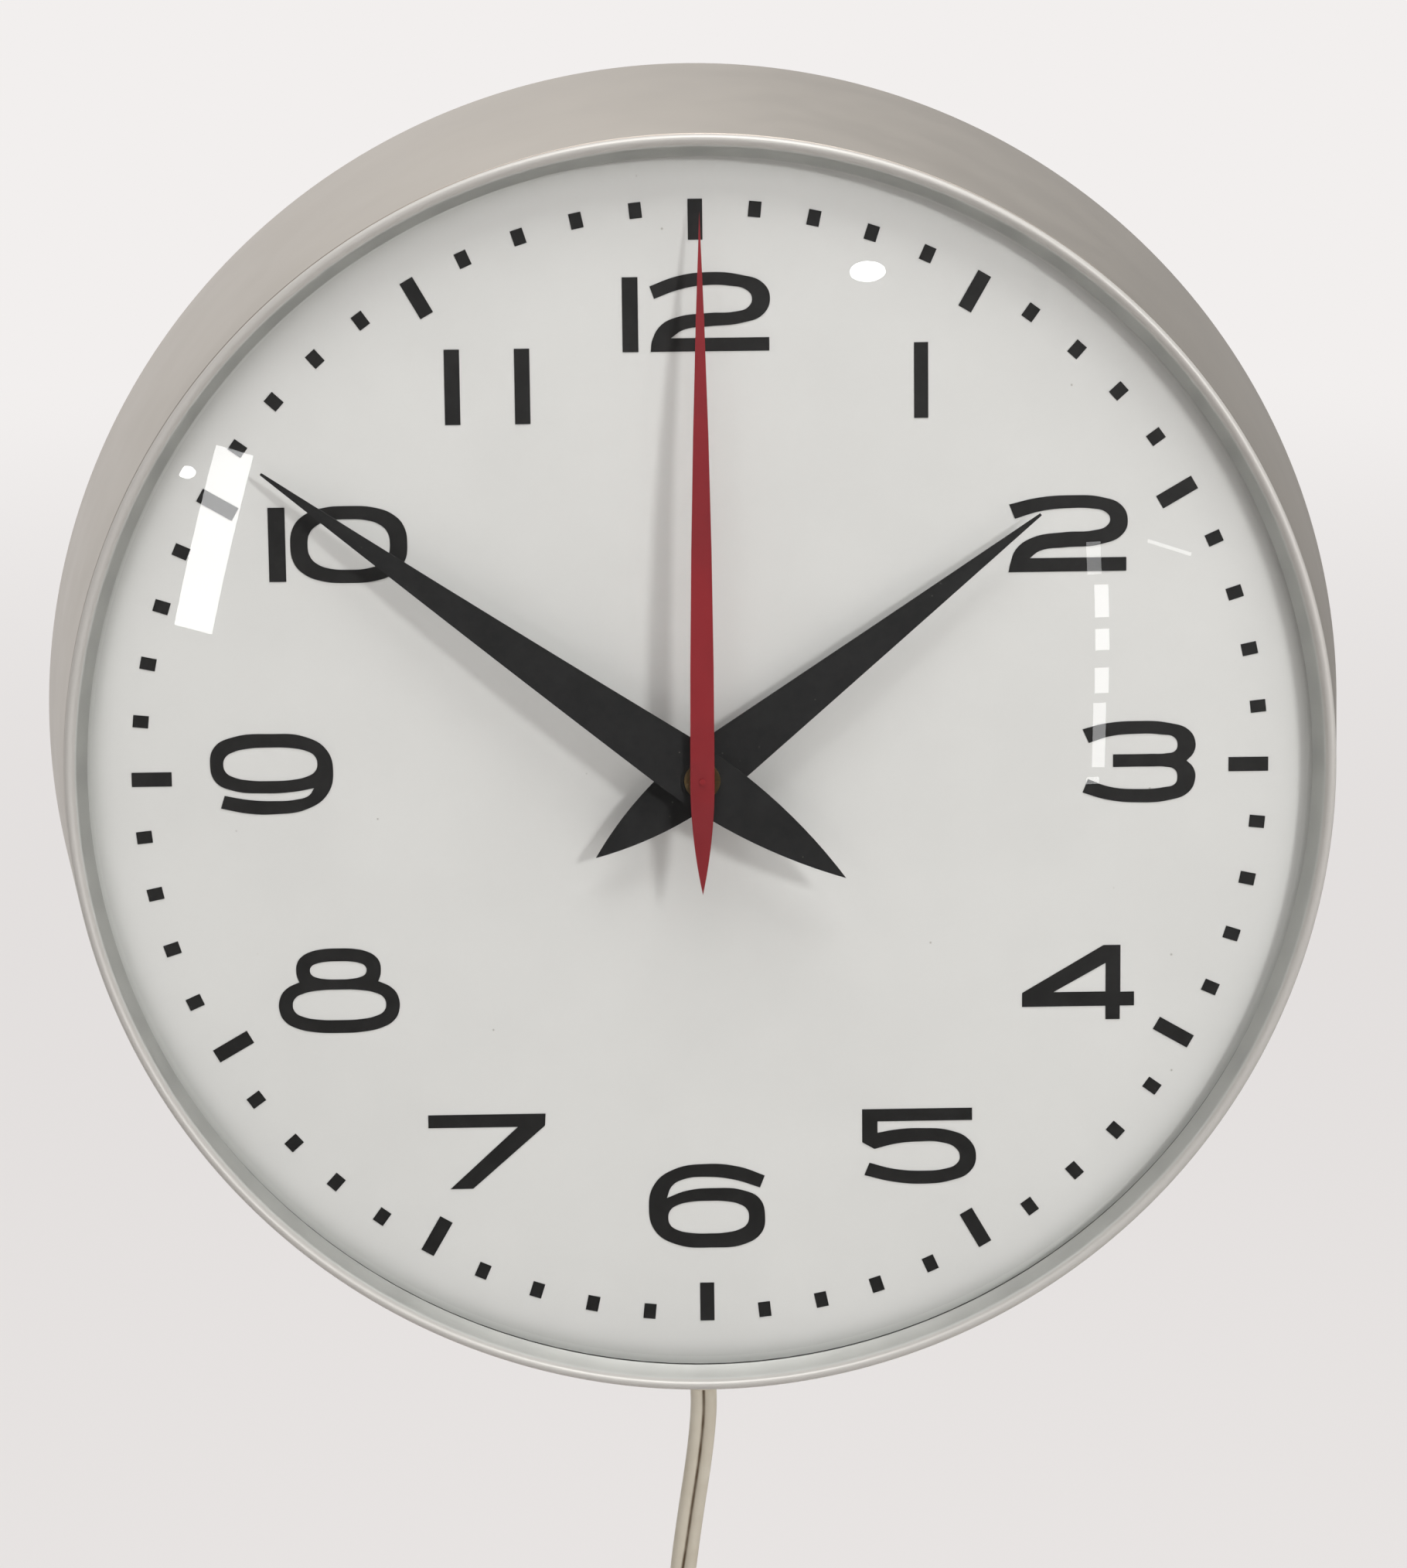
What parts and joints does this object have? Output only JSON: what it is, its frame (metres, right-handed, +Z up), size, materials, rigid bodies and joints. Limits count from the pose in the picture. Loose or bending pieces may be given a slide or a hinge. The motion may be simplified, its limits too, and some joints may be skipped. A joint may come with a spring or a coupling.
{
  "type": "electric wall clock",
  "caption": "Round mains wall clock with a tapered metal case, domed glass, lance hands with a red second hand, a geared movement and a flat lead with its plug",
  "frame": {"origin": "where the axis of the hands meets the wall", "axes": "+Y into the wall, +Z up, +X to the viewer's right, so the dial faces -Y"},
  "size_m": [0.3499, 0.1167, 0.5442],
  "materials": {
    "case_metal": "satin sprayed metal",
    "clear_glass": "clear polished",
    "black_rubber": "matt",
    "plated_steel": "zinc plated",
    "dial_enamel": "eggshell",
    "dial_print": "matt print",
    "hand_black": "fine texture",
    "hand_red": "satin",
    "brass": "turned",
    "arbor_steel": "polished",
    "knob_plastic": "moulded",
    "can_metal": "lacquered",
    "lamination_steel": "dull",
    "bobbin_card": "pressed card",
    "copper_wire": "enamelled wire",
    "cover_paint": "satin grey",
    "cord_vinyl": "soft vinyl",
    "tie_fabric": "woven",
    "blade_brass": "plain"
  },
  "bodies": {
    "clock_body": {"case_shell": "case_metal", "dome_glass": "clear_glass", "glass_gasket": "black_rubber", "dial_clips": "plated_steel", "dial_plate": "dial_enamel", "dial_marks": "dial_print", "minute_stud": "arbor_steel", "front_plate": "brass", "back_plate": "brass", "plate_pillars": "brass", "pillar_screws": "plated_steel", "dial_posts": "brass", "center_bushing": "brass", "bushing_washer": "plated_steel", "bushing_nut": "brass", "rotor_can": "can_metal", "stator_core": "lamination_steel", "coil_bobbin": "bobbin_card", "coil_winding": "copper_wire", "motor_posts": "plated_steel", "motor_screws": "plated_steel", "back_cover": "cover_paint", "hanger_plate": "plated_steel", "cover_screws": "plated_steel", "cord_bushing": "cord_vinyl", "inner_leads": "cord_vinyl", "power_cord": "cord_vinyl", "cord_coil": "cord_vinyl", "cord_tie": "tie_fabric", "plug_body": "cord_vinyl", "plug_blades": "blade_brass"},
    "second_body": {"second_hand": "hand_red", "second_collet": "brass", "second_arbor": "arbor_steel", "second_wheel": "brass"},
    "minute_body": {"minute_hand": "hand_black", "minute_collet": "brass", "minute_nut": "brass", "minute_tube": "brass", "center_wheel": "brass", "clutch_spring": "plated_steel"},
    "hour_body": {"hour_hand": "hand_black", "hour_collet": "brass", "hour_wheel": "brass"},
    "third_body": {"third_arbor": "arbor_steel", "third_wheel": "brass"},
    "motor_body": {"motor_pinion": "arbor_steel"},
    "minute_wheel_body": {"minute_wheel": "brass", "minute_pinion": "brass"},
    "set_body": {"set_arbor": "arbor_steel", "set_knob": "knob_plastic"}
  },
  "joints": [
    {"name": "second_spin", "type": "hinge", "parent": "clock_body", "child": "second_body", "pos_m": [0, -0.06, 0], "axis": [0, 1, 0], "continuous": true},
    {"name": "minute_spin", "type": "hinge", "parent": "clock_body", "child": "minute_body", "pos_m": [0, -0.07, 0], "axis": [0, 1, 0], "continuous": true},
    {"name": "hour_spin", "type": "hinge", "parent": "clock_body", "child": "hour_body", "pos_m": [0, -0.085, 0], "axis": [0, 1, 0], "continuous": true},
    {"name": "third_spin", "type": "hinge", "parent": "clock_body", "child": "third_body", "pos_m": [-0.0184, -0.06, 0.01063], "axis": [0, 1, 0], "continuous": true},
    {"name": "motor_spin", "type": "hinge", "parent": "clock_body", "child": "motor_body", "pos_m": [0, -0.046, -0.0138], "axis": [0, 1, 0], "continuous": true},
    {"name": "minute_wheel_spin", "type": "hinge", "parent": "clock_body", "child": "minute_wheel_body", "pos_m": [0.01103, -0.07, 0.00926], "axis": [0, 1, 0], "continuous": true},
    {"name": "setting_spin", "type": "hinge", "parent": "clock_body", "child": "set_body", "pos_m": [0.02206, -0.04, 0.01851], "axis": [0, 1, 0], "continuous": true}
  ],
  "couplings": [
    {"joint": "motor_spin", "follows": "second_spin", "ratio": -3.6},
    {"joint": "third_spin", "follows": "second_spin", "ratio": -0.13333},
    {"joint": "minute_spin", "follows": "second_spin", "ratio": 0.016667},
    {"joint": "minute_wheel_spin", "follows": "second_spin", "ratio": -0.0055556},
    {"joint": "hour_spin", "follows": "second_spin", "ratio": 0.0013889},
    {"joint": "setting_spin", "follows": "second_spin", "ratio": 0.016667}
  ]
}
